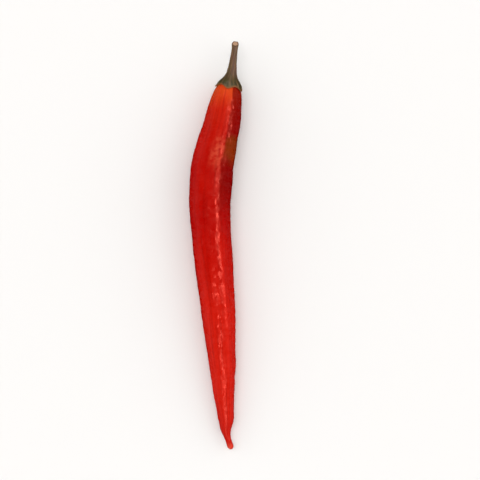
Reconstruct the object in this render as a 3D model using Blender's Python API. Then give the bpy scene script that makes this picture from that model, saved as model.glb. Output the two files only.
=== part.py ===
"""A cayenne chili pepper as picked, lying on its side: the red pod, and the green stalk with its calyx.

Run it with blender --background --python part.py, or from Blender's text editor. Metres, +Z up, the stalk
towards +Y, and the origin on the surface that the pepper lies on, under the middle of its outline.
"""

import math

import bmesh
import bpy
from mathutils import Vector, noise

MM = 0.001

# The middle line of the whole pepper, in millimetres: across, along, and height above the surface.
# It runs from the cut end of the stalk to the tip of the pod, and bends to the left as the fruit does.
MIDDLE_LINE = [
    (9.4, 118.0, 13.0),
    (7.6, 103.5, 12.4),
    (5.9, 93.4, 11.4),
    (1.0, 70.2, 10.7),
    (-4.0, 48.1, 11.3),
    (-5.6, 26.7, 11.1),
    (-4.5, 3.5, 10.5),
    (-1.7, -25.5, 9.4),
    (1.3, -60.3, 7.5),
    (2.5, -83.5, 5.8),
    (3.9, -100.0, 4.8),
    (4.1, -108.0, 4.6),
    (7.2, -117.8, 5.6),
]
RIM_POINT = 2  # the calyx's rim is at this point, and distances along the pepper are counted from it

# The pod: half its width at distances from the calyx's rim towards the tip, both in millimetres.
POD_HALF_WIDTHS = [
    (0.0, 6.6),
    (4.0, 8.2),
    (12.0, 9.7),
    (27.0, 11.1),
    (41.0, 12.3),
    (54.0, 12.8),
    (68.0, 12.3),
    (101.0, 11.4),
    (138.0, 9.7),
    (170.0, 7.1),
    (186.0, 5.6),
    (197.0, 4.2),
    (206.0, 2.05),
    (213.0, 1.65),
]
SEAT_RISE = 3.6 * MM  # how far the pod's rounded top stands up inside the calyx
NOSE_LENGTH = 1.7 * MM  # the rounded end of the tip
HEIGHT_SHARE = 0.92  # the pod, and the calyx over it, are a little flatter than wide
ROUND_STEM = 9.0 * MM  # this far above the rim the stem is as high as it is wide
TWIST = math.radians(-20.0)  # how far the furrows wind round over the pod's length

# Long furrows down the skin, the deeper ones where an inner wall joins it: the angle up from the right-hand
# side where each one starts, its depth in millimetres, its half width in degrees, and the stretch of the pod
# that it runs along, in millimetres from the calyx's rim.
FURROWS = [
    (63.0, 0.80, 10.0, 8.0, 190.0),
    (44.0, 0.45, 8.0, 30.0, 160.0),
    (184.0, 0.70, 16.0, 4.0, 150.0),
    (322.0, 0.60, 15.0, 8.0, 165.0),
]
FURROW_FADE = 22.0 * MM  # over which a furrow begins and runs out

LUMP_HEIGHT = 0.60 * MM  # slow swellings of the skin
LUMP_PITCH = 13.0 * MM
LUMPS_UNDER = 0.4  # share of the swellings left on the underside, which lying has pressed even
LUMPS_AT_TIP = 0.35  # and where the pod runs out to nothing
WAVE_HEIGHT = 0.16 * MM  # low waves across the pod, closer together
WAVE_PITCH = 5.5 * MM
SMOOTH_SHOULDER = 10.0 * MM  # no swellings this close to the calyx

# The calyx and stem: half width at heights above the calyx's rim, in millimetres.
STALK_HALF_WIDTHS = [
    (0.0, 7.65),
    (1.3, 7.25),
    (2.7, 6.2),
    (4.2, 4.8),
    (5.8, 3.65),
    (8.0, 2.9),
    (11.0, 2.45),
    (16.5, 1.95),
    (21.0, 1.7),
    (24.6, 1.95),
]
CALYX_GAP = 0.3 * MM  # between the calyx and the pod that it sits on
CALYX_TEETH = 5
TOOTH_LENGTH = 2.3 * MM
TOOTH_SHARPNESS = 1.6
TOOTH_TURN = math.radians(22.0)  # turns the teeth round the stalk
TOOTH_REACH = 5.0 * MM  # how far up the calyx the teeth still shape it
RIB_SHARE = 0.07  # height of the stem's ribs, one above each tooth, as a share of its half width
RIB_START = 1.0 * MM  # above the rim, where the ribs begin
RIB_FADE = 5.0 * MM
CUT_SLANT = math.radians(38.0)  # the knife's cut faces up and away from the pod
CUT_REACH = 5.0 * MM  # over which the rings of the stem lean over to the cut

POD_SEGMENTS = 48  # points round each ring of the pod
STALK_SEGMENTS = 40
STALK_RINGS = 20  # between the cut and the calyx's rim
RINGS_TO_RIM = 1.4  # how much closer together those rings get towards the rim
POD_RING_STEP = 0.9 * MM  # between two rings of the pod, plus a share of its half width there
POD_RING_SHARE = 0.19
LINE_STEPS = 24  # straight steps between two points of the middle line


def clear_scene():
    for thing in list(bpy.data.objects):
        bpy.data.objects.remove(thing, do_unlink=True)


def smoothstep(value):
    value = max(0.0, min(1.0, value))
    return value * value * (3.0 - 2.0 * value)


def through(points, where):
    """The value at `where` on a smooth line through (place, value) points, which are in millimetres."""
    where = max(points[0][0], min(points[-1][0], where / MM))
    last = len(points) - 1
    span = next(i for i in range(last) if where <= points[i + 1][0])

    def slope(i):
        before, after = points[max(i - 1, 0)], points[min(i + 1, last)]
        return (after[1] - before[1]) / (after[0] - before[0])

    (start, first), (end, second) = points[span], points[span + 1]
    width = end - start
    t = (where - start) / width
    rise_out, rise_in = slope(span) * width, slope(span + 1) * width
    cubic = (
        first * (2 * t**3 - 3 * t**2 + 1)
        + rise_out * (t**3 - 2 * t**2 + t)
        + second * (3 * t**2 - 2 * t**3)
        + rise_in * (t**3 - t**2)
    )
    return cubic * MM


class MiddleLine:
    """A smooth line through points, measured along its length from one of them."""

    def __init__(self, points, zero_point):
        knots = [Vector(p) * MM for p in points]
        ends = [2 * knots[0] - knots[1], *knots, 2 * knots[-1] - knots[-2]]
        self.line = []
        for a, b, c, d in zip(ends, ends[1:], ends[2:], ends[3:]):
            for step in range(LINE_STEPS):
                t = step / LINE_STEPS
                self.line.append(
                    0.5 * (2 * b + (c - a) * t + (2 * a - 5 * b + 4 * c - d) * t**2)
                    + 0.5 * (3 * b - a - 3 * c + d) * t**3
                )
        self.line.append(knots[-1])
        self.along = [0.0]
        for here, there in zip(self.line, self.line[1:]):
            self.along.append(self.along[-1] + (there - here).length)
        zero = self.along[zero_point * LINE_STEPS]
        self.along = [length - zero for length in self.along]

    def at(self, distance):
        """The point this far along, and the direction towards the tip. Past an end it goes straight on."""
        last = len(self.line) - 2
        i = next((n for n in range(last + 1) if distance <= self.along[n + 1]), last)
        step = self.line[i + 1] - self.line[i]
        share = (distance - self.along[i]) / step.length
        before, after = self.line[max(i - 2, 0)], self.line[min(i + 3, last + 1)]
        return self.line[i] + step * share, (after - before).normalized()

    def place(self, distance, angle, radius):
        """The point at this radius and angle round the line. Angle 0 is to the right and 90 degrees is up."""
        centre, forward = self.at(distance)
        up = (Vector((0, 0, 1)) - forward * forward.z).normalized()
        side = up.cross(forward)
        flattened = 1.0 - (1.0 - HEIGHT_SHARE) * smoothstep(1.0 + distance / ROUND_STEM)
        across, above = radius * math.cos(angle), radius * math.sin(angle) * flattened
        return centre + side * across + up * above


PEPPER = MiddleLine(MIDDLE_LINE, RIM_POINT)
POD_END = PEPPER.along[-1]
STALK_LENGTH = -PEPPER.along[0]


def angle_apart(first, second):
    """The smaller angle between two directions, in radians."""
    return abs((first - second + math.pi) % (2 * math.pi) - math.pi)


def pod_radius(distance, angle):
    """The pod's radius at this distance from the calyx's rim, with its furrows and swellings."""
    half_width = through(POD_HALF_WIDTHS, distance)
    share = half_width / (max(width for _, width in POD_HALF_WIDTHS) * MM)
    relief = 0.0
    for degrees, depth, spread, start, end in FURROWS:
        begun = smoothstep((distance - start * MM) / FURROW_FADE)
        left = smoothstep((end * MM - distance) / FURROW_FADE)
        centre = math.radians(degrees) + TWIST * distance / POD_END
        across = angle_apart(angle, centre) / math.radians(spread)
        relief -= depth * MM * share * begun * left * math.exp(-(across**2))
    round_the_pod = Vector((math.cos(angle), math.sin(angle), 0)) * half_width
    on_skin = round_the_pod + Vector((0, 0, distance))
    swelling = LUMP_HEIGHT * noise.noise(on_skin / LUMP_PITCH)
    swelling += WAVE_HEIGHT * noise.noise(on_skin / WAVE_PITCH)
    swelling *= LUMPS_UNDER + (1.0 - LUMPS_UNDER) * (1.0 + math.sin(angle)) / 2
    swelling *= LUMPS_AT_TIP + (1.0 - LUMPS_AT_TIP) * share
    relief += swelling * smoothstep(distance / SMOOTH_SHOULDER)
    return half_width + relief


def tooth(angle):
    """1 at the point of each calyx tooth, 0 midway between two of them."""
    turn = (angle - TOOTH_TURN) * CALYX_TEETH / (2 * math.pi)
    from_point = abs(turn - round(turn)) * 2
    return (1.0 - from_point) ** TOOTH_SHARPNESS


def skin(name, segments, rings, place, material):
    """A closed skin, made from a UV sphere. Each ring is a function: angle in, distance and radius out."""
    bm = bmesh.new()
    last = len(rings) - 1
    bmesh.ops.create_uvsphere(bm, u_segments=segments, v_segments=last, radius=1.0)
    for vert in bm.verts:
        polar = math.acos(max(-1.0, min(1.0, vert.co.z)))
        angle = math.atan2(vert.co.y, vert.co.x)
        distance, radius = rings[round(polar / math.pi * last)](angle)
        vert.co = place(distance, angle, radius)
    # The rings run to the tip as the sphere's run down, which mirrors the faces, so they are turned back.
    bmesh.ops.reverse_faces(bm, faces=bm.faces)
    mesh = bpy.data.meshes.new(name)
    bm.to_mesh(mesh)
    bm.free()
    mesh.shade_smooth()
    mesh.materials.append(material)
    return bpy.data.objects.new(name, mesh)


def quarter_turn(steps):
    """Angles from 0 up to, but not including, a right angle."""
    return [math.pi / 2 * i / steps for i in range(steps)]


def make_pod(material):
    """The fruit: a rounded seat inside the calyx, the long curved body, and the hooked tip."""

    def seat_ring(turn):
        return lambda a: (-SEAT_RISE * math.cos(turn), pod_radius(0, a) * math.sin(turn))

    def body_ring(distance):
        return lambda a: (distance, pod_radius(distance, a))

    def nose_ring(turn):
        start = POD_END - NOSE_LENGTH
        return lambda a: (
            start + NOSE_LENGTH * math.sin(turn),
            pod_radius(start, a) * math.cos(turn),
        )

    rings = [seat_ring(turn) for turn in quarter_turn(5)]
    distance = 0.0
    while distance < POD_END - NOSE_LENGTH - POD_RING_STEP / 2:
        rings.append(body_ring(distance))
        distance += POD_RING_STEP + POD_RING_SHARE * through(POD_HALF_WIDTHS, distance)
    rings += [nose_ring(turn) for turn in quarter_turn(4)]
    rings.append(nose_ring(math.pi / 2))

    def on_surface(distance, angle, radius):
        """The pod's own weight has pressed its underside flat where it lies on the surface."""
        point = PEPPER.place(distance, angle, radius)
        point.z = max(point.z, 0.0)
        return point

    return skin("pod", POD_SEGMENTS, rings, on_surface, material)


def make_calyx_and_stem(material):
    """The stalk: its slanted cut, the ribbed stem, the calyx down to its teeth, and back up inside it."""

    def rib(angle, height):
        grown = smoothstep((height - RIB_START) / RIB_FADE)
        return 1.0 + RIB_SHARE * grown * math.cos(CALYX_TEETH * (angle - TOOTH_TURN))

    def outline(height, angle):
        return through(STALK_HALF_WIDTHS, height) * rib(angle, height)

    def cut_ring(share):
        def ring(angle):
            radius = outline(STALK_LENGTH, angle) * share
            return -STALK_LENGTH + radius * math.sin(angle) * math.tan(CUT_SLANT), radius

        return ring

    def outer_ring(height):
        def ring(angle):
            near_cut = smoothstep(1.0 - (STALK_LENGTH - height) / CUT_REACH)
            radius = outline(height, angle)
            slant = radius * math.sin(angle) * math.tan(CUT_SLANT) * near_cut
            near_rim = max(0.0, 1.0 - height / TOOTH_REACH) ** 2
            distance = TOOTH_LENGTH * tooth(angle) * near_rim - height
            wider_pod = pod_radius(max(distance, 0.0), angle) - pod_radius(0.0, angle)
            return distance + slant, radius + wider_pod

        return ring

    def inner_ring(share):
        def ring(angle):
            distance = TOOTH_LENGTH * tooth(angle) * share
            return distance, pod_radius(distance, angle) + CALYX_GAP

        return ring

    def seat_ring(turn):
        def ring(angle):
            radius = (pod_radius(0, angle) + CALYX_GAP) * math.sin(turn)
            return -(SEAT_RISE + CALYX_GAP) * math.cos(turn), radius

        return ring

    rings = [cut_ring(share) for share in (0.0, 0.5, 1.0)]
    shares = [1.0 - (i + 1) / STALK_RINGS for i in range(STALK_RINGS)]
    rings += [outer_ring(STALK_LENGTH * share**RINGS_TO_RIM) for share in shares]
    rings += [inner_ring(share) for share in (1.0, 0.5)]
    rings += [seat_ring(math.pi / 2 - turn) for turn in quarter_turn(6)]
    rings.append(seat_ring(0.0))
    return skin("calyx_and_stem", STALK_SEGMENTS, rings, PEPPER.place, material)


def surface_finish(name, colour, roughness):
    finish = bpy.data.materials.new(name)
    finish.use_nodes = True
    shader = finish.node_tree.nodes["Principled BSDF"]
    shader.inputs["Base Color"].default_value = (*colour, 1.0)
    shader.inputs["Roughness"].default_value = roughness
    shader.inputs["Metallic"].default_value = 0.0
    finish.diffuse_color = (*colour, 1.0)
    return finish


def centre_on_base(pieces):
    """Moves the pieces so that the origin lies on the surface, under the middle of their common box."""
    points = [vert.co for piece in pieces for vert in piece.data.vertices]
    low = Vector([min(p[i] for p in points) for i in range(3)])
    high = Vector([max(p[i] for p in points) for i in range(3)])
    shift = Vector((-(low.x + high.x) / 2, -(low.y + high.y) / 2, -low.z))
    for piece in pieces:
        for vert in piece.data.vertices:
            vert.co += shift


def main():
    clear_scene()
    bpy.context.scene.unit_settings.system = "METRIC"
    pepper = bpy.data.collections.new("chili_pepper")
    bpy.context.scene.collection.children.link(pepper)
    pieces = [
        make_pod(surface_finish("waxy_red_skin", (0.50, 0.012, 0.004), 0.25)),
        make_calyx_and_stem(surface_finish("green_stalk", (0.12, 0.13, 0.035), 0.55)),
    ]
    centre_on_base(pieces)
    for piece in pieces:
        pepper.objects.link(piece)


main()
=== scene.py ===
# %% [markdown]
# # A cayenne chili pepper, lying on its side
# A cayenne is a long, thin chili: a hollow red pod under a glossy natural wax, capped by a green calyx
# that narrows into the stalk it was cut by. The lesson starts from two plain solids that already have the
# right size, bend and furrows. It gives each one a finer surface, then a skin made of shader nodes, and
# then light.

# %% Load the solids
import math

import bpy
import numpy as np
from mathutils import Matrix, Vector


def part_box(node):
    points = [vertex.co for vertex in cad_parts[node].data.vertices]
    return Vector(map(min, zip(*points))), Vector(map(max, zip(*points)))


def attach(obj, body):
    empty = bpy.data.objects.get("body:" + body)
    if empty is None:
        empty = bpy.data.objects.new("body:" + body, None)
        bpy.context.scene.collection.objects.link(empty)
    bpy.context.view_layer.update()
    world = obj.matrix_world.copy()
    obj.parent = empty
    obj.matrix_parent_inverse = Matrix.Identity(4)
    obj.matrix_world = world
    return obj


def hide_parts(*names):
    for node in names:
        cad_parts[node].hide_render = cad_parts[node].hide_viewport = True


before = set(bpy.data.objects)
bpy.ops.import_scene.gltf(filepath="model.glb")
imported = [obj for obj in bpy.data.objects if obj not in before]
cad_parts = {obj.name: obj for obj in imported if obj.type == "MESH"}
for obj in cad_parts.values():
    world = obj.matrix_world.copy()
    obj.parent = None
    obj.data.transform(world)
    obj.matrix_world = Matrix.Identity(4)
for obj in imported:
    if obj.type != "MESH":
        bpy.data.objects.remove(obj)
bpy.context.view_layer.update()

MM = 0.001
print("solids:", sorted(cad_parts))

# %% [markdown]
# ## The camera
# The pepper was photographed from straight above. A real photographer would stand back with a long lens,
# so that the pod's nearest point is hardly larger than its outline, and a 100 mm lens does the same here.
# The picture is 480 pixels wide and a pixel is 0.58 mm on the pepper, which sets how high the camera
# hangs. The pepper lies a little left of the middle of the picture, so the camera hangs a little to its
# right.

# %% Camera straight above
PICTURE_PIXELS = 480
PIXEL = 0.58 * MM
PEPPER_MIDDLE_PIXEL = (215.8, 246.0)
WIDEST_HEIGHT = 11 * MM
# Blender counts the lens and the sensor in mm.
LENS = 100.0
SENSOR = 36.0

aim = Vector((
    (PICTURE_PIXELS / 2 - PEPPER_MIDDLE_PIXEL[0]) * PIXEL,
    (PEPPER_MIDDLE_PIXEL[1] - PICTURE_PIXELS / 2) * PIXEL,
    WIDEST_HEIGHT,
))
height = PICTURE_PIXELS * PIXEL * LENS / SENSOR
bpy.ops.object.camera_add(location=aim + Vector((0, 0, height)), rotation=(0, 0, 0))
camera = bpy.context.object
camera.name = "camera_above"
camera.data.lens = LENS
camera.data.sensor_width = SENSOR
bpy.context.scene.camera = camera
print("camera height in mm:", round(camera.location.z / MM))

# %% [markdown]
# ## Helpers
# Five helpers do the small jobs of the cells below. One leaves a single piece selected, because Blender's
# operators act on whatever is selected. One turns a colour as a designer writes it into the linear values
# that shaders count in. One starts an empty material, and one adds a node to it with its settings and its
# links. The last turns a real size in millimetres into the scale of a pattern, because a shader's noise
# counts lumps per metre.

# %% Helpers
SMOOTH = {"interpolation_type": "SMOOTHSTEP"}
COLOURS = {"data_type": "RGBA"}


def select_only(piece):
    bpy.ops.object.select_all(action="DESELECT")
    piece.select_set(True)
    bpy.context.view_layer.objects.active = piece


def colour(hex_code):
    """An sRGB colour such as A60A01 as linear red, green, blue and alpha."""
    parts = [int(hex_code[i:i + 2], 16) / 255 for i in (0, 2, 4)]
    linear = [c / 12.92 if c <= 0.04045 else ((c + 0.055) / 1.055) ** 2.4 for c in parts]
    return (*linear, 1.0)


def add_node(tree, kind, settings=None, **links):
    """Adds a node. The socket Base Color is written base_color=..., and in0=... is the first socket."""
    node = tree.nodes.new(kind)
    for name, value in (settings or {}).items():
        setattr(node, name, value)
    for name, value in links.items():
        if name.startswith("in") and name[2:].isdigit():
            socket = node.inputs[int(name[2:])]
        else:
            socket = next(s for s in node.inputs if s.name.lower().replace(" ", "_") == name)
        if isinstance(value, bpy.types.NodeSocket):
            tree.links.new(value, socket)
        else:
            socket.default_value = value
    return node


def new_material(name):
    material = bpy.data.materials.new(name)
    material.use_nodes = True
    material.node_tree.nodes.clear()
    return material, material.node_tree


def lumps(x, y, z):
    """The scale at which a pattern's lumps are x, y and z millimetres wide."""
    return (1 / (x * MM), 1 / (y * MM), 1 / (z * MM))


print("deep red in linear light:", [round(c, 3) for c in colour("A60A01")])
print("lumps of 8, 22 and 8 mm are a scale of", [round(s) for s in lumps(8, 22, 8)])

# %% [markdown]
# ## From a plain solid to a fine skin
# Both solids arrive as loose flat triangles. A pepper's skin has no facets at all, so a copy of each solid
# has its points joined, its triangles paired into four-sided faces, and the whole rounded by Subdivision
# Surface. Drawing the pod again from a cylinder would work too, but the solid's outline, bend and furrows
# are already right, and a copy keeps them.

# %% Copy a solid as one joined mesh
JOIN_WITHIN = 0.001 * MM
PAIR_ACROSS = math.radians(40)


def joined_copy(node_name, piece_name):
    piece = bpy.data.objects.new(piece_name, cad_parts[node_name].data.copy())
    bpy.context.scene.collection.objects.link(piece)
    piece.data.materials.clear()
    select_only(piece)
    bpy.ops.mesh.customdata_custom_splitnormals_clear()
    bpy.ops.object.mode_set(mode="EDIT")
    bpy.ops.mesh.select_all(action="SELECT")
    bpy.ops.mesh.remove_doubles(threshold=JOIN_WITHIN)
    bpy.ops.mesh.tris_convert_to_quads(face_threshold=PAIR_ACROSS, shape_threshold=math.radians(90))
    bpy.ops.object.mode_set(mode="OBJECT")
    print(piece_name, "has", len(piece.data.polygons), "faces")
    return piece


def round_off(piece, levels):
    select_only(piece)
    rounding = piece.modifiers.new("rounding", "SUBSURF")
    rounding.levels = rounding.render_levels = levels
    bpy.ops.object.modifier_apply(modifier=rounding.name)
    bpy.ops.object.shade_smooth()
    print(piece.name, "now has", len(piece.data.polygons), "faces")


pod = joined_copy("pod", "ripe_pod")
round_off(pod, 2)

# %% [markdown]
# ## Knowing where a point is along the pod
# The pod is bent, but its streaks and wrinkles follow it as if it had been bent after they grew. So each
# point of the skin is told where it would be if the pod were straight: how far along, and at which angle
# round a rod of constant thickness. Shader nodes read that place from an attribute of the mesh, and any
# pattern laid out on it then follows the fruit. The middle line comes from slices through the pod.

# %% Lay the pod out straight
SLICE = 3 * MM
ROD_RADIUS = 10 * MM


def middle_line(points):
    """The middle of each slice through the points, from one end in Y to the other."""
    low, high = points[:, 1].min(), points[:, 1].max()
    rows = []
    for y in np.arange(low + SLICE, high - SLICE, SLICE):
        near = points[abs(points[:, 1] - y) < SLICE / 2]
        rows.append((y, *(near[:, (0, 2)].min(0) + near[:, (0, 2)].max(0)) / 2))
    return np.array(rows)


def points_of(piece):
    points = np.empty(len(piece.data.vertices) * 3)
    piece.data.vertices.foreach_get("co", points)
    return points.reshape(-1, 3)


def store(piece, name, kind, values):
    attribute = piece.data.attributes.new(name, kind, "POINT")
    field = "vector" if kind == "FLOAT_VECTOR" else "value"
    attribute.data.foreach_set(field, np.ascontiguousarray(values, np.float32).ravel())


pod_points = points_of(pod)
pod_y = pod_points[:, 1]
pod_middle = middle_line(pod_points)
from_middle_x = pod_points[:, 0] - np.interp(pod_y, pod_middle[:, 0], pod_middle[:, 1])
from_middle_z = pod_points[:, 2] - np.interp(pod_y, pod_middle[:, 0], pod_middle[:, 2])
angle = np.arctan2(from_middle_z, from_middle_x)
straight = np.stack((ROD_RADIUS * np.cos(angle), pod_y, ROD_RADIUS * np.sin(angle)), 1)
store(pod, "straight", "FLOAT_VECTOR", straight)
print("slices through the pod:", len(pod_middle))

# %% [markdown]
# ## Pushing a skin in and out
# All the finer relief is made the same way: a Displace modifier moves the skin along its own normals, as
# far as a vertex group allows. With no texture it moves the group's points by one height, which gives a
# hollow or a ridge. With a Clouds texture it gives wrinkles. The texture is read through an empty whose
# scale is the size of the clouds, so an empty that is long in Y gives creases along the pod, and a round
# one gives dents.

# %% A soft step from nothing to all
def fade(values, start, end):
    """From 0 at start to 1 at end, without a kink."""
    share = np.clip((values - start) / (end - start), 0, 1)
    return share * share * (3 - 2 * share)


print("a quarter of the way along, a fade is at", float(fade(0.25, 0, 1)))

# %% Relief by a Displace modifier
TOO_LITTLE = 0.001


def relief(piece, name, height, where, clouds=None, detail=1):
    """Moves the skin by height as far as where allows, by clouds of this size if a size is given."""
    group = piece.vertex_groups.new(name=name)
    for index, share in enumerate(where):
        if share > TOO_LITTLE:
            group.add([index], float(share), "REPLACE")
    ruler = None
    if clouds:
        bpy.ops.object.empty_add(location=(0, 0, 0))
        ruler = bpy.context.object
        ruler.scale = clouds
        bpy.context.view_layer.update()
    select_only(piece)
    push = piece.modifiers.new(name, "DISPLACE")
    push.vertex_group = name
    push.strength = height
    push.mid_level = 0.5 if clouds else 0.0
    if clouds:
        push.texture = bpy.data.textures.new(name, "CLOUDS")
        push.texture.noise_scale = 1.0
        push.texture.noise_depth = detail
        push.texture_coords = "OBJECT"
        push.texture_coords_object = ruler
    before = points_of(piece)
    bpy.ops.object.modifier_apply(modifier=name)
    if ruler:
        bpy.data.objects.remove(ruler)
    moved = np.linalg.norm(points_of(piece) - before, axis=1).max()
    print(name, "moved", piece.name, "by up to", round(moved / MM, 2), "mm")


print("points that would move less than", TOO_LITTLE, "of the height stay out of the group")

# %% [markdown]
# ## A softer furrow beside the back
# Where a wall inside the fruit draws the skin in, a furrow runs along the right of the back. On the
# shoulder it is a clear crease. Further down it opens out until it is no more than a soft band of shade,
# so there the skin is raised again, along the same line and over the same width as the furrow itself. A
# bell curve across the furrow does that without leaving an edge.

# %% Fill the furrow
# Angles around the pod are in degrees, 0 on the right and 90 on top. The fill comes and goes at shares of
# the pod's length, counted from the calyx.
FURROW_AT_RIM, FURROW_AT_TIP = 64.0, 42.5
FURROW_SPREAD = 13.0
FURROW_DEPTH = 0.72 * MM
FILL_ABOVE, FILL_BELOW = 0.30, 0.80
CREASE_ENDS, CREASE_FADE = 32 * MM, 8 * MM
FILL_STARTS, FILL_FULL, FILL_WANES, FILL_ENDS = 0.08, 0.18, 0.70, 0.92

degrees = np.degrees(angle)
end_to_end = (pod_y.max() - pod_y) / np.ptp(pod_y)
furrow = FURROW_AT_RIM + (FURROW_AT_TIP - FURROW_AT_RIM) * end_to_end
bell = np.exp(-((degrees - furrow) / FURROW_SPREAD) ** 2)
below_crease = fade(pod_y, CREASE_ENDS + CREASE_FADE, CREASE_ENDS - CREASE_FADE)
fill = FILL_ABOVE + (FILL_BELOW - FILL_ABOVE) * below_crease
along_it = fade(end_to_end, FILL_STARTS, FILL_FULL) * fade(end_to_end, FILL_ENDS, FILL_WANES)
relief(pod, "filled_furrow", FURROW_DEPTH, bell * fill * along_it)

# %% [markdown]
# ## A dent where the pod bends
# Just above the middle the skin is nipped in across the back, as a tube is where it bends. It is a short
# dent that is narrow along the pod and wide across it, so it is a bell curve in both directions.

# %% Nip the back in
NIP_Y, NIP_LENGTH = 29 * MM, 1.1 * MM
NIP_ANGLE, NIP_WIDTH = 74.0, 10.0
NIP_DEPTH = 0.35 * MM

from_nip = ((pod_y - NIP_Y) / NIP_LENGTH) ** 2 + ((degrees - NIP_ANGLE) / NIP_WIDTH) ** 2
relief(pod, "nip", -NIP_DEPTH, np.exp(-from_nip))

# %% [markdown]
# ## Wrinkles in the skin
# A ripe cayenne looks smooth until light falls on it: then the bright line along its back breaks into
# beads, because the skin has shallow dents, small bumps and long creases. They are real shape and not only
# shading, a few tenths of a millimetre at most. Four sizes of cloud lie over each other, from wide dents
# to pimples. The flat spot underneath, on which the pod lies, and the skin inside the calyx stay as they
# are.

# %% Dents, knobs, pimples and creases
LIES_ON_LOW, LIES_ON_HIGH = 0.3 * MM, 2.5 * MM
CALYX_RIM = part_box("calyx_and_stem")[0].y
UNDER_CALYX, CLEAR_OF_CALYX = 1 * MM, 4 * MM
# The name of each kind of wrinkle, its height in mm, and the width of its clouds in X, Y and Z in mm.
WRINKLES = [
    ("dents", 0.45, (6, 8, 6)),
    ("knobs", 0.30, (3.2, 2.8, 3.2)),
    ("pimples", 0.20, (1.6, 1.3, 1.6)),
    ("long_creases", 0.10, (1.8, 16, 1.8)),
]

off_the_table = fade(pod_points[:, 2], LIES_ON_LOW, LIES_ON_HIGH)
free = off_the_table * fade(pod_y, CALYX_RIM + UNDER_CALYX, CALYX_RIM - CLEAR_OF_CALYX)
for name, rise, widths in WRINKLES:
    relief(pod, name, rise * MM, free, clouds=[width * MM for width in widths])

# %% [markdown]
# ## Ripe skin: the red along the pod
# A chili's skin is red flesh under a thin layer of natural wax. The red isn't even. It is still orange
# next to the calyx, deepest over the shoulder, and brighter again towards the tip. A Color Ramp along the
# straightened pod gives that long change. Part of it is painted light: the deepest red over the shoulder
# is partly painted shade, the brighter red further down is partly painted light, and the pale orange-red
# at the very point is a painted highlight. One noise of large soft lumps makes some places lighter, and
# one of thin long lumps draws the darker strands of flesh that run through the skin from end to end.

# %% Material: ripe chili skin, deep red flesh under natural wax
# How far from the tip, as a share of the pod's length, and the colour there, painted shade and highlight
# included.
SKIN_TONE_AND_LIGHT_ALONG = [
    (0.00, "DC5440"),
    (0.02, "B4150C"),
    (0.12, "C61C0E"),
    (0.38, "C21609"),
    (0.50, "B40A02"),
    (0.60, "A80200"),
    (0.75, "9E0000"),
    (0.86, "AA0D03"),
    (0.92, "B81C06"),
    (0.97, "CE4818"),
]
skin, tree = new_material("ripe_chili_skin")
place = add_node(tree, "ShaderNodeAttribute", {"attribute_name": "straight"}).outputs["Vector"]
axes = add_node(tree, "ShaderNodeSeparateXYZ", in0=place)
along = axes.outputs["Y"]
share = add_node(
    tree, "ShaderNodeMapRange", value=along,
    from_min=pod_y.min(), from_max=pod_y.max(), to_min=0.0, to_max=1.0,
).outputs[0]
ramp = add_node(tree, "ShaderNodeValToRGB", in0=share)
stops = ramp.color_ramp.elements
stops[0].position, stops[0].color = SKIN_TONE_AND_LIGHT_ALONG[0][0], colour(SKIN_TONE_AND_LIGHT_ALONG[0][1])
stops[1].position, stops[1].color = SKIN_TONE_AND_LIGHT_ALONG[-1][0], colour(SKIN_TONE_AND_LIGHT_ALONG[-1][1])
for position, code in SKIN_TONE_AND_LIGHT_ALONG[1:-1]:
    stops.new(position).color = colour(code)
print("colours along the pod:", len(stops))

# %% Light lumps and dark strands
LUMP_SIZE, LIGHTER_BY = (8, 22, 8), 0.45
STRAND_SIZE, DARKER_BY = (1.4, 36, 1.4), 0.45

large = add_node(tree, "ShaderNodeMapping", in0=place, scale=lumps(*LUMP_SIZE)).outputs[0]
lump = add_node(tree, "ShaderNodeTexNoise", vector=large, scale=1.0, detail=3.0).outputs[0]
lighter = add_node(
    tree, "ShaderNodeMapRange", value=lump, from_min=0.40, from_max=0.70, to_min=0.0, to_max=LIGHTER_BY
).outputs[0]
red = add_node(
    tree, "ShaderNodeMix", COLOURS, in0=lighter, in6=ramp.outputs[0], in7=colour("BE1104")
).outputs[2]
# A strand is a few tenths of a millimetre wide. It is drawn 1.4 mm wide, as fine as the picture can show.
thin_and_long = add_node(tree, "ShaderNodeMapping", in0=place, scale=lumps(*STRAND_SIZE)).outputs[0]
strand = add_node(tree, "ShaderNodeTexNoise", vector=thin_and_long, scale=1.0, detail=2.0).outputs[0]
darker = add_node(
    tree, "ShaderNodeMapRange", value=strand, from_min=0.45, from_max=0.75, to_min=0.0, to_max=DARKER_BY
).outputs[0]
red = add_node(tree, "ShaderNodeMix", COLOURS, in0=darker, in6=red, in7=colour("800000")).outputs[2]
print("nodes in the skin so far:", len(tree.nodes))

# %% [markdown]
# ## The late, shaded side of the shoulder
# The right side of the shoulder is a darker red that begins with a hard edge at the crease and fades out
# towards the middle of the pod. It is partly the skin's own tone, because that side ripened later than
# the left, and partly painted shade. Two places are worked out here, how far round to the right and how
# far along, and a mottling noise is added to each so that no border runs straight. Further down, between
# the bright line and the edge, the same side is painted a slightly lighter red, which is painted light.

# %% How far round, and how far along
CREASE_LEFT, CREASE_RIGHT = 5.3 * MM, 6.6 * MM
RAGGED_ROUND, RAGGED_ALONG = 3.0 * MM, -14.0 * MM
MOTTLING_SIZE = (3.85, 5.9, 3.85)

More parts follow.
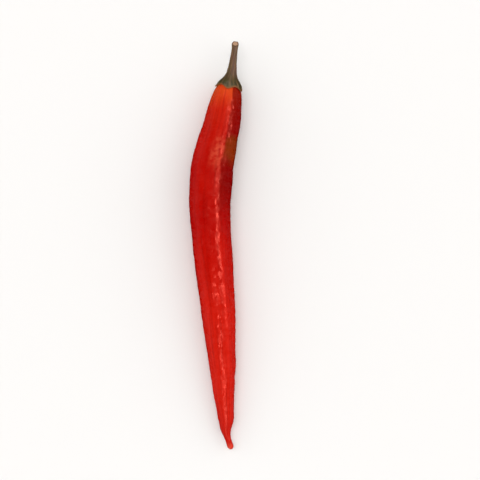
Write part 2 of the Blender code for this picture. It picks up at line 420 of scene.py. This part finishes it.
mottling = add_node(tree, "ShaderNodeMapping", in0=place, scale=lumps(*MOTTLING_SIZE)).outputs[0]
mottle = add_node(tree, "ShaderNodeTexNoise", vector=mottling, scale=1.0, detail=3.0).outputs[0]
to_right = add_node(
    tree, "ShaderNodeMath", {"operation": "MULTIPLY_ADD"},
    in0=mottle, in1=RAGGED_ROUND, in2=axes.outputs["X"],
).outputs[0]
to_stalk = add_node(
    tree, "ShaderNodeMath", {"operation": "MULTIPLY_ADD"}, in0=mottle, in1=RAGGED_ALONG, in2=along
).outputs[0]
right_side = add_node(
    tree, "ShaderNodeMapRange", SMOOTH, value=to_right,
    from_min=CREASE_LEFT, from_max=CREASE_RIGHT, to_min=0.0, to_max=1.0,
).outputs[0]
left_side = add_node(tree, "ShaderNodeMath", {"operation": "SUBTRACT"}, in0=1.0, in1=right_side).outputs[0]
print("nodes in the skin so far:", len(tree.nodes))

# %% Dark tone and painted shade on the shoulder
DARK_FROM, DARK_FULL, DARK_SHARE = 2 * MM, 28 * MM, 0.85

on_shoulder = add_node(
    tree, "ShaderNodeMapRange", SMOOTH, value=to_stalk,
    from_min=DARK_FROM, from_max=DARK_FULL, to_min=0.0, to_max=DARK_SHARE,
).outputs[0]
dark_tone_and_shade = add_node(
    tree, "ShaderNodeMath", {"operation": "MULTIPLY"}, in0=on_shoulder, in1=right_side
).outputs[0]
# The darker red is partly the skin's own tone and partly painted shade on the right of the shoulder.
red = add_node(tree, "ShaderNodeMix", COLOURS, in0=dark_tone_and_shade, in6=red, in7=colour("7C0000")).outputs[2]
print("nodes in the skin so far:", len(tree.nodes))

# %% Painted light below it
LIT_FROM, LIT_FULL, LIT_SHARE = 10 * MM, -3 * MM, 0.2
BAND_MIDDLE, BAND_CORE, BAND_EDGE = 7.4 * MM, 1.0 * MM, 2.6 * MM

low_down = add_node(
    tree, "ShaderNodeMapRange", SMOOTH, value=to_stalk,
    from_min=LIT_FROM, from_max=LIT_FULL, to_min=0.0, to_max=LIT_SHARE,
).outputs[0]
off_band = add_node(
    tree, "ShaderNodeMath", {"operation": "SUBTRACT"}, in0=to_right, in1=BAND_MIDDLE
).outputs[0]
off_band = add_node(tree, "ShaderNodeMath", {"operation": "ABSOLUTE"}, in0=off_band).outputs[0]
in_band = add_node(
    tree, "ShaderNodeMapRange", SMOOTH, value=off_band,
    from_min=BAND_EDGE, from_max=BAND_CORE, to_min=0.0, to_max=1.0,
).outputs[0]
painted_light = add_node(tree, "ShaderNodeMath", {"operation": "MULTIPLY"}, in0=low_down, in1=in_band).outputs[0]
# The lighter red on the right flank below the shoulder is painted light.
red = add_node(tree, "ShaderNodeMix", COLOURS, in0=painted_light, in6=red, in7=colour("D81C0E")).outputs[2]
print("nodes in the skin so far:", len(tree.nodes))

# %% [markdown]
# ## A blot that is still brown-green
# Leaf green that hasn't gone yet lies over the red as a brown-green blot on the late side. A painted
# circle would look like a sticker, so the blot is where the distance from its middle, counted in its own
# reach along each axis, plus a ragged noise, stays under a limit. Between green and brown it changes with
# the mottling.

# %% The blot
BLOT_MIDDLE = (8.4 * MM, 55.3 * MM, 4.2 * MM)
BLOT_REACH = (7.0 * MM, 9.0 * MM, 7.0 * MM)
BLOT_FAINT, BLOT_FULL, BLOT_SHARE = 2.05, 1.20, 0.92
RAGGED_SIZE, RAGGED_BY = (7.7, 9.1, 7.7), 1.6

off_blot = add_node(
    tree, "ShaderNodeMapping", {"vector_type": "TEXTURE"},
    in0=place, location=BLOT_MIDDLE, scale=BLOT_REACH,
).outputs[0]
off_blot = add_node(tree, "ShaderNodeVectorMath", {"operation": "LENGTH"}, in0=off_blot).outputs["Value"]
raggedness = add_node(tree, "ShaderNodeMapping", in0=place, scale=lumps(*RAGGED_SIZE)).outputs[0]
ragged = add_node(tree, "ShaderNodeTexNoise", vector=raggedness, scale=1.0, detail=4.0).outputs[0]
off_blot = add_node(
    tree, "ShaderNodeMath", {"operation": "MULTIPLY_ADD"}, in0=ragged, in1=RAGGED_BY, in2=off_blot
).outputs[0]
blot = add_node(
    tree, "ShaderNodeMapRange", SMOOTH, value=off_blot,
    from_min=BLOT_FAINT, from_max=BLOT_FULL, to_min=0.0, to_max=BLOT_SHARE,
).outputs[0]
blot = add_node(tree, "ShaderNodeMath", {"operation": "MULTIPLY"}, in0=blot, in1=right_side).outputs[0]
brown_green = add_node(
    tree, "ShaderNodeMix", COLOURS, in0=mottle, in6=colour("962A02"), in7=colour("582600")
).outputs[2]
red = add_node(tree, "ShaderNodeMix", COLOURS, in0=blot, in6=red, in7=brown_green).outputs[2]
print("nodes in the skin so far:", len(tree.nodes))

# %% [markdown]
# ## Where the wax is rubbed off
# Left of the crease, on the crown of the shoulder, handling has rubbed the wax dull. Dull skin scatters
# the light, so it is rougher there. Its paler red is a painted highlight: the broad, soft gleam on the
# crown is painted into the colour. The patch fades out along the pod and ends at the crease, and small
# blotches break it up.

# %% The rubbed patch and its painted highlight
SHEEN_MIDDLE, SHEEN_CORE, SHEEN_EDGE = 47.0 * MM, 2.0 * MM, 13.0 * MM
CROWN_FROM, CROWN_FULL = -2.0 * MM, 2.2 * MM
BLOTCH_SIZE, BLOTCH_FAINT, BLOTCH_STRONG = (2.1, 2.4, 2.1), 0.10, 0.95

off_sheen = add_node(
    tree, "ShaderNodeMath", {"operation": "SUBTRACT"}, in0=to_stalk, in1=SHEEN_MIDDLE
).outputs[0]
off_sheen = add_node(tree, "ShaderNodeMath", {"operation": "ABSOLUTE"}, in0=off_sheen).outputs[0]
painted_sheen = add_node(
    tree, "ShaderNodeMapRange", SMOOTH, value=off_sheen,
    from_min=SHEEN_EDGE, from_max=SHEEN_CORE, to_min=0.0, to_max=1.0,
).outputs[0]
crown = add_node(
    tree, "ShaderNodeMapRange", SMOOTH, value=to_right,
    from_min=CROWN_FROM, from_max=CROWN_FULL, to_min=0.0, to_max=1.0,
).outputs[0]
crown = add_node(tree, "ShaderNodeMath", {"operation": "MULTIPLY"}, in0=crown, in1=left_side).outputs[0]
painted_sheen = add_node(tree, "ShaderNodeMath", {"operation": "MULTIPLY"}, in0=painted_sheen, in1=crown).outputs[0]
blotching = add_node(tree, "ShaderNodeMapping", in0=place, scale=lumps(*BLOTCH_SIZE)).outputs[0]
blotch = add_node(tree, "ShaderNodeTexNoise", vector=blotching, scale=1.0, detail=2.0).outputs[0]
blotch = add_node(
    tree, "ShaderNodeMapRange", value=blotch,
    from_min=0.34, from_max=0.66, to_min=BLOTCH_FAINT, to_max=BLOTCH_STRONG,
).outputs[0]
painted_sheen = add_node(tree, "ShaderNodeMath", {"operation": "MULTIPLY"}, in0=painted_sheen, in1=blotch).outputs[0]
# The paler red on the crown is a painted highlight, a broad soft gleam painted into the colour.
red = add_node(tree, "ShaderNodeMix", COLOURS, in0=painted_sheen, in6=red, in7=colour("C4422C")).outputs[2]
print("nodes in the skin so far:", len(tree.nodes))

# %% [markdown]
# ## The wax itself
# Natural wax has an index of refraction of about 1.45 and a gloss between satin and polished. On a chili
# it is a very thin film on red flesh, so the gleam takes on some of the red, and it stays weak towards the
# outline. An index of 1.25 with a strong, reddish specular gives both. The roughness changes every few
# millimetres, as the wax does, and is higher on the blotches of the rubbed crown, so that a few spots
# between them still shine. Pores finish it as a very slight bump.

# %% Pores
# A pore is under 0.1 mm. The bump is drawn at about half a millimetre, as fine as the picture can show.
PORE_SIZE, PORE_DEPTH, PORE_STRENGTH = (0.7, 0.45, 0.7), 0.03 * MM, 0.07

pore_scale = add_node(tree, "ShaderNodeMapping", in0=place, scale=lumps(*PORE_SIZE)).outputs[0]
pores = add_node(tree, "ShaderNodeTexNoise", vector=pore_scale, scale=1.0, detail=3.0).outputs[0]
bump = add_node(
    tree, "ShaderNodeBump", strength=PORE_STRENGTH, distance=PORE_DEPTH, height=pores
).outputs[0]
print("nodes in the skin so far:", len(tree.nodes))

# %% From shiny to rubbed
SATIN, SHINY = 0.34, 0.22
WAX_SIZE = (4.2, 3.3, 4.2)
WORN_FROM, WORN_FULL, WORN_EXTRA = 12 * MM, 26 * MM, 0.2

wax_scale = add_node(tree, "ShaderNodeMapping", in0=place, scale=lumps(*WAX_SIZE)).outputs[0]
wax = add_node(tree, "ShaderNodeTexNoise", vector=wax_scale, scale=1.0, detail=1.0).outputs[0]
roughness = add_node(
    tree, "ShaderNodeMapRange", value=wax, from_min=0.38, from_max=0.62, to_min=SHINY, to_max=SATIN
).outputs[0]
worn = add_node(
    tree, "ShaderNodeMapRange", SMOOTH, value=to_stalk,
    from_min=WORN_FROM, from_max=WORN_FULL, to_min=0.0, to_max=1.0,
).outputs[0]
worn = add_node(tree, "ShaderNodeMath", {"operation": "MULTIPLY"}, in0=worn, in1=crown).outputs[0]
worn = add_node(tree, "ShaderNodeMath", {"operation": "MULTIPLY"}, in0=worn, in1=blotch).outputs[0]
roughness = add_node(
    tree, "ShaderNodeMath", {"operation": "MULTIPLY_ADD"}, in0=worn, in1=WORN_EXTRA, in2=roughness
).outputs[0]
print("nodes in the skin so far:", len(tree.nodes))

# %% Finish the skin
WAX_INDEX = 1.25
WAX_SPECULAR = 1.0
GLEAM_TINT = "FF7361"

shader = add_node(
    tree, "ShaderNodeBsdfPrincipled", base_color=red, roughness=roughness, normal=bump, ior=WAX_INDEX,
    specular_ior_level=WAX_SPECULAR, specular_tint=colour(GLEAM_TINT),
)
add_node(tree, "ShaderNodeOutputMaterial", surface=shader.outputs[0])

pod.data.materials.append(skin)
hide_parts("pod")
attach(pod, "root")
print("nodes in the finished skin:", len(tree.nodes))

# %% [markdown]
# ## The stalk and its cut end
# The stalk is one piece of green tissue: a cap with five small teeth, drawn out into a ribbed stem that a
# knife cut through at a slant. A cut shows two things, the dark skin as a ring and the pale pith inside
# it. In the solid the cut is a flat end, so its triangles are merged into one face. Insets then draw the
# ring and the pith on it, each a little deeper than the last, and a crease keeps the knife's edge sharp
# when the rest is rounded off.

# %% Find the faces of the cut
CUT_FACES = Vector((0.09, 0.76, 0.65))
FACES_THAT_WAY = 0.97
CUT_ZONE = 4.5 * MM

stalk = joined_copy("calyx_and_stem", "green_calyx_and_stem")
select_only(stalk)
stem_end = max(v.co.y for v in stalk.data.vertices)
bpy.ops.object.mode_set(mode="EDIT")
bpy.ops.mesh.select_mode(type="FACE")
bpy.ops.mesh.select_all(action="DESELECT")
bpy.ops.object.mode_set(mode="OBJECT")
for face in stalk.data.polygons:
    face.select = face.normal.dot(CUT_FACES) > FACES_THAT_WAY and face.center.y > stem_end - CUT_ZONE
print("faces on the cut:", sum(face.select for face in stalk.data.polygons))

# %% Merge them, and inset the ring and the pith
EDGE_SHARPNESS = 0.6
KNIFE_EDGE = 0.10 * MM
SKIN_RING, RING_DEPTH = 0.30 * MM, 0.042 * MM
PITH_RIM, PITH_DEPTH = 0.16 * MM, 0.14 * MM
PITH_CROWN, PITH_CROWN_HEIGHT = 0.7 * MM, 0.05 * MM

bpy.ops.object.mode_set(mode="EDIT")
bpy.ops.mesh.dissolve_faces()
bpy.ops.transform.edge_crease(value=EDGE_SHARPNESS)
bpy.ops.mesh.inset(thickness=KNIFE_EDGE)
bpy.ops.mesh.inset(thickness=SKIN_RING, depth=-RING_DEPTH)
bpy.ops.mesh.inset(thickness=PITH_RIM, depth=-PITH_DEPTH)
bpy.ops.object.mode_set(mode="OBJECT")
pith = np.array([float(v.select) for v in stalk.data.vertices])
bpy.ops.object.mode_set(mode="EDIT")
bpy.ops.mesh.inset(thickness=PITH_CROWN, depth=PITH_CROWN_HEIGHT)
bpy.ops.mesh.poke()
bpy.ops.object.mode_set(mode="OBJECT")
pith = np.concatenate((pith, np.ones(len(stalk.data.vertices) - len(pith))))
store(stalk, "pith", "FLOAT", pith)
print("points in the pith:", int(pith.sum()))
round_off(stalk, 3)

# %% [markdown]
# ## Ribs, fibres and the dry rim
# Bundles of fibres run the length of the stem and fan out into the teeth, and as the tissue dries they
# stand up as fine ribs. Clouds that are long in Y and thin across make them. The inside of the cap stays
# as it is, so that it still fits the pod, and the normals tell inside from outside. The rim's own height
# at each angle is kept as well, because the cap dries to brown from there.

# %% Which way the stalk's skin faces
stalk_points = points_of(stalk)
stalk_y = stalk_points[:, 1]
stalk_middle = middle_line(stalk_points)
normals = np.empty(len(stalk_points) * 3)
stalk.data.vertices.foreach_get("normal", normals)
normals = normals.reshape(-1, 3)
across = np.stack((
    stalk_points[:, 0] - np.interp(stalk_y, stalk_middle[:, 0], stalk_middle[:, 1]),
    stalk_points[:, 2] - np.interp(stalk_y, stalk_middle[:, 0], stalk_middle[:, 2]),
), 1)
outwards = (across * normals[:, (0, 2)]).sum(1) / np.linalg.norm(across, axis=1)
print("points that face outwards:", int((outwards > 0).sum()), "of", len(outwards))

# %% How far each point is from the rim
STEM_RADIUS = 3 * MM
RIM_STEP = 6

turn = np.degrees(np.arctan2(across[:, 1], across[:, 0])) % 360
steps = np.arange(0, 360, RIM_STEP)
rim_y = [stalk_y[(turn >= step) & (turn < step + RIM_STEP) & (outwards > 0)].min() for step in steps]
from_rim = stalk_y - np.interp(turn, steps + RIM_STEP / 2, rim_y, period=360)
store(stalk, "from_rim", "FLOAT", from_rim / MM)
around = np.radians(turn)
stalk_straight = np.stack((STEM_RADIUS * np.cos(around), stalk_y, STEM_RADIUS * np.sin(around)), 1)
store(stalk, "straight", "FLOAT_VECTOR", stalk_straight)
print("the rim lies between y =", round(min(rim_y) / MM, 1), "and", round(max(rim_y) / MM, 1), "mm")

# %% Fibres and shrivels
EDGE_ON, FACING_OUT = 0.15, 0.5
FIBRE_RISE, FIBRE_CLOUDS = 0.16 * MM, (0.7 * MM, 9 * MM, 0.7 * MM)
SHRIVEL_RISE, SHRIVEL_CLOUDS = 0.18 * MM, (1.6 * MM, 2.6 * MM, 1.6 * MM)

outer = fade(outwards, EDGE_ON, FACING_OUT)
relief(stalk, "fibres", FIBRE_RISE, outer, clouds=FIBRE_CLOUDS, detail=2)
relief(stalk, "shrivels", SHRIVEL_RISE, outer, clouds=SHRIVEL_CLOUDS)

# %% [markdown]
# ## Stalk tissue
# A stalk is plant fibre under a thin, almost waxless skin. After some days it is olive at the cap, brown
# up the stem, paler where fibres come to the surface, and rust brown along the rim, which dries first. To
# the eye it is dull and a little woody beside the glossy pod. The brown comes up with the distance from
# the rim, the pale fibres follow a thin long noise, and the pith is chosen by the attribute that the
# insets left.

# %% Material: chili stalk, green plant fibre that is drying, with pale pith where it is cut
BROWN_FROM, BROWN_FULL = 2.0, 13.0
FIBRE_SIZE, PALE_BY = (0.77, 8.3, 0.77), 0.8
GREEN_SIZE, GREEN_BY = (3, 3, 3), 0.45

stalk_skin, tree = new_material("dried_green_stalk")
place = add_node(tree, "ShaderNodeTexCoord").outputs["Object"]
straight_place = add_node(tree, "ShaderNodeAttribute", {"attribute_name": "straight"}).outputs["Vector"]
on_pith = add_node(tree, "ShaderNodeAttribute", {"attribute_name": "pith"}).outputs["Fac"]
rim = add_node(tree, "ShaderNodeAttribute", {"attribute_name": "from_rim"}).outputs["Fac"]

up_stem = add_node(
    tree, "ShaderNodeMapRange", SMOOTH, value=rim,
    from_min=BROWN_FROM, from_max=BROWN_FULL, to_min=0.0, to_max=1.0,
).outputs[0]
tissue = add_node(
    tree, "ShaderNodeMix", COLOURS, in0=up_stem, in6=colour("3E3417"), in7=colour("5A3824")
).outputs[2]
# A fibre is about 0.2 mm wide. It is drawn 0.77 mm wide, as fine as the picture can show.
fibre_scale = add_node(
    tree, "ShaderNodeMapping", in0=straight_place, scale=lumps(*FIBRE_SIZE)
).outputs[0]
fibres = add_node(tree, "ShaderNodeTexNoise", vector=fibre_scale, scale=1.0, detail=4.0).outputs[0]
pale_fibres = add_node(
    tree, "ShaderNodeMapRange", value=fibres, from_min=0.46, from_max=0.68, to_min=0.0, to_max=PALE_BY
).outputs[0]
tissue = add_node(
    tree, "ShaderNodeMix", COLOURS, in0=pale_fibres, in6=tissue, in7=colour("84603F")
).outputs[2]
green_scale = add_node(tree, "ShaderNodeMapping", in0=place, scale=lumps(*GREEN_SIZE)).outputs[0]
green = add_node(tree, "ShaderNodeTexNoise", vector=green_scale, scale=1.0, detail=3.0).outputs[0]
green = add_node(
    tree, "ShaderNodeMapRange", value=green, from_min=0.45, from_max=0.65, to_min=0.0, to_max=GREEN_BY
).outputs[0]
tissue = add_node(tree, "ShaderNodeMix", COLOURS, in0=green, in6=tissue, in7=colour("4C481C")).outputs[2]
print("nodes in the stalk so far:", len(tree.nodes))

# %% Dry rim and pith
# A cell of the pith is about 0.1 mm. The mottling of the cut is drawn at 0.63 mm, so that it shows.
DRY_WIDTH, DRY_SHARE = 1.5, 0.9
PITH_BEGINS, PITH_FULL = 0.35, 0.8
CELL_SIZE = (0.63, 0.63, 0.63)

dry = add_node(
    tree, "ShaderNodeMapRange", SMOOTH, value=rim,
    from_min=DRY_WIDTH, from_max=0.0, to_min=0.0, to_max=DRY_SHARE,
).outputs[0]
tissue = add_node(tree, "ShaderNodeMix", COLOURS, in0=dry, in6=tissue, in7=colour("8A4E1A")).outputs[2]
in_pith = add_node(
    tree, "ShaderNodeMapRange", value=on_pith,
    from_min=PITH_BEGINS, from_max=PITH_FULL, to_min=0.0, to_max=1.0,
).outputs[0]
cell_scale = add_node(tree, "ShaderNodeMapping", in0=place, scale=lumps(*CELL_SIZE)).outputs[0]
cells = add_node(tree, "ShaderNodeTexNoise", vector=cell_scale, scale=1.0, detail=2.0).outputs[0]
pith_colour = add_node(
    tree, "ShaderNodeMix", COLOURS, in0=cells, in6=colour("946A4C"), in7=colour("C8A284")
).outputs[2]
tissue = add_node(tree, "ShaderNodeMix", COLOURS, in0=in_pith, in6=tissue, in7=pith_colour).outputs[2]
print("nodes in the stalk so far:", len(tree.nodes))

# %% Finish the stalk
# The index of plant fibre is about 1.4. Dry tissue reflects less than that, hence the low specular level.
FIBRE_INDEX = 1.4
FIBRE_ROUGHNESS = 0.5
FIBRE_SPECULAR = 0.4
RIB_STRENGTH, RIB_DEPTH = 0.5, 0.05 * MM

ribs = add_node(
    tree, "ShaderNodeBump", strength=RIB_STRENGTH, distance=RIB_DEPTH, height=fibres
).outputs[0]
shader = add_node(
    tree, "ShaderNodeBsdfPrincipled", base_color=tissue, roughness=FIBRE_ROUGHNESS, normal=ribs,
    ior=FIBRE_INDEX, specular_ior_level=FIBRE_SPECULAR,
)
add_node(tree, "ShaderNodeOutputMaterial", surface=shader.outputs[0])

stalk.data.materials.append(stalk_skin)
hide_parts("calyx_and_stem")
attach(stalk, "root")
print("nodes in the finished stalk:", len(tree.nodes))

# %% [markdown]
# ## The table
# The pepper lies on plain white card, which is pressed and uncoated paper: it scatters light and has no
# gloss. It is only there to catch the shadow, so it is one large plane. It is also kept out of glossy
# reflections, because a white table mirrored in the wax would turn the dark underside of the pod grey.

# %% Material: white card, pressed and uncoated
TABLE_SIZE = 30.0
CARD_ROUGHNESS = 0.9

bpy.ops.mesh.primitive_plane_add(size=TABLE_SIZE, location=(0, 0, 0))
floor = bpy.context.object
floor.name = "pale_table"
card, tree = new_material("matt_white_card")
shader = add_node(
    tree, "ShaderNodeBsdfPrincipled", base_color=colour("EAE8E6"), roughness=CARD_ROUGHNESS,
    specular_ior_level=0.0,
)
add_node(tree, "ShaderNodeOutputMaterial", surface=shader.outputs[0])
floor.data.materials.append(card)
floor.visible_glossy = False
print("table side in m:", TABLE_SIZE)

# %% [markdown]
# ## The white room
# Soft light comes from all around, as in a white tent. The world is brightest at the horizon and dim
# straight up, so that the sides of the pod are lit as well as its back. It lights the pepper but isn't
# mirrored in it, because gloss is left to the lamps of the next cells, where its shape can be chosen.

# %% World
# How high a direction points, from 0 straight down to 1 straight up, and how bright the room is there.
ROOM = [(0.00, 0.42), (0.44, 0.42), (0.46, 0.97), (0.54, 0.97), (0.92, 0.12)]

world = bpy.data.worlds.new("white_studio")
bpy.context.scene.world = world
world.use_nodes = True
room = world.node_tree
direction = add_node(room, "ShaderNodeTexCoord").outputs["Generated"]
upwards = add_node(room, "ShaderNodeSeparateXYZ", in0=direction).outputs["Z"]
walls = add_node(
    room, "ShaderNodeMapRange", value=upwards, from_min=-1.0, from_max=1.0, to_min=0.0, to_max=1.0
).outputs[0]
brightness = add_node(room, "ShaderNodeValToRGB", in0=walls)
stops = brightness.color_ramp.elements
stops[0].position, stops[0].color = ROOM[0][0], (*[ROOM[0][1]] * 3, 1)
stops[1].position, stops[1].color = ROOM[-1][0], (*[ROOM[-1][1]] * 3, 1)
for position, grey in ROOM[1:-1]:
    stops.new(position).color = (grey, grey, grey, 1)
room.links.new(brightness.outputs[0], room.nodes["Background"].inputs["Color"])
world.cycles_visibility.glossy = False
print("steps of grey in the room:", len(stops))

# %% [markdown]
# ## Even light and gleams
# Even light comes from three wide suns, one overhead and one at either side. A wide sun gives a soft
# shadow at any distance, and these leave no glint. Gleams come from area lights that light nothing else.
# The strip at the right is short, so that each knob of the skin catches it on its own and the bright line
# along the back breaks into beads. The pod slopes down towards its tip, so a second strip hangs over that
# end to carry the line on. The large card at the left gives that flank a faint sheen, and the cards and
# bars at the ends do the same for someone who looks along the pepper or from a corner.

# %% Two kinds of lamp
def aim_at_pepper(light, name):
    light.name = name
    light.rotation_euler = (-light.location).to_track_quat("-Z", "Y").to_euler()
    print(name, "at", [round(x, 2) for x in light.location])


def soft_sun(name, place, strength, spread):
    """Even light from one side, as wide as spread in degrees."""
    bpy.ops.object.light_add(type="SUN", location=place)
    light = bpy.context.object
    light.data.energy = strength
    light.data.angle = math.radians(spread)
    light.visible_glossy = False
    aim_at_pepper(light, name)


def gleam(name, place, size, watts):
    """A rectangle of light that is only seen mirrored in the gloss of the skin."""
    bpy.ops.object.light_add(type="AREA", location=place)
    light = bpy.context.object
    light.data.shape = "RECTANGLE"
    light.data.size, light.data.size_y = size
    light.data.energy = watts
    light.visible_diffuse = False
    light.visible_camera = False
    aim_at_pepper(light, name)


print("lamps so far:", len(bpy.data.lights))

# %% Hang the lamps
soft_sun("roof_light", (-0.15, 0.2, 1.5), strength=1.55, spread=50)
soft_sun("left_light", (-1.3, 0.2, 0.75), strength=0.95, spread=70)
soft_sun("right_light", (1.2, 0.2, 0.9), strength=1.28, spread=70)
gleam("strip_right", (0.64, 0.0, 0.77), size=(0.3, 0.16), watts=6.2)
gleam("strip_tip", (0.06, -0.45, 0.93), size=(0.12, 0.3), watts=4.6)
gleam("card_left", (-1.2, 0.0, 0.5), size=(2.0, 0.9), watts=3.5)
for end, side in (("tip", -1), ("stalk", 1)):
    gleam("card_" + end, (0.1, side * 1.3, 0.55), size=(0.5, 0.5), watts=1.2)
    gleam("bar_" + end, (0.0, side * 1.0, 1.0), size=(0.9, 0.2), watts=6.0)
bpy.context.scene.view_settings.view_transform = "Standard"
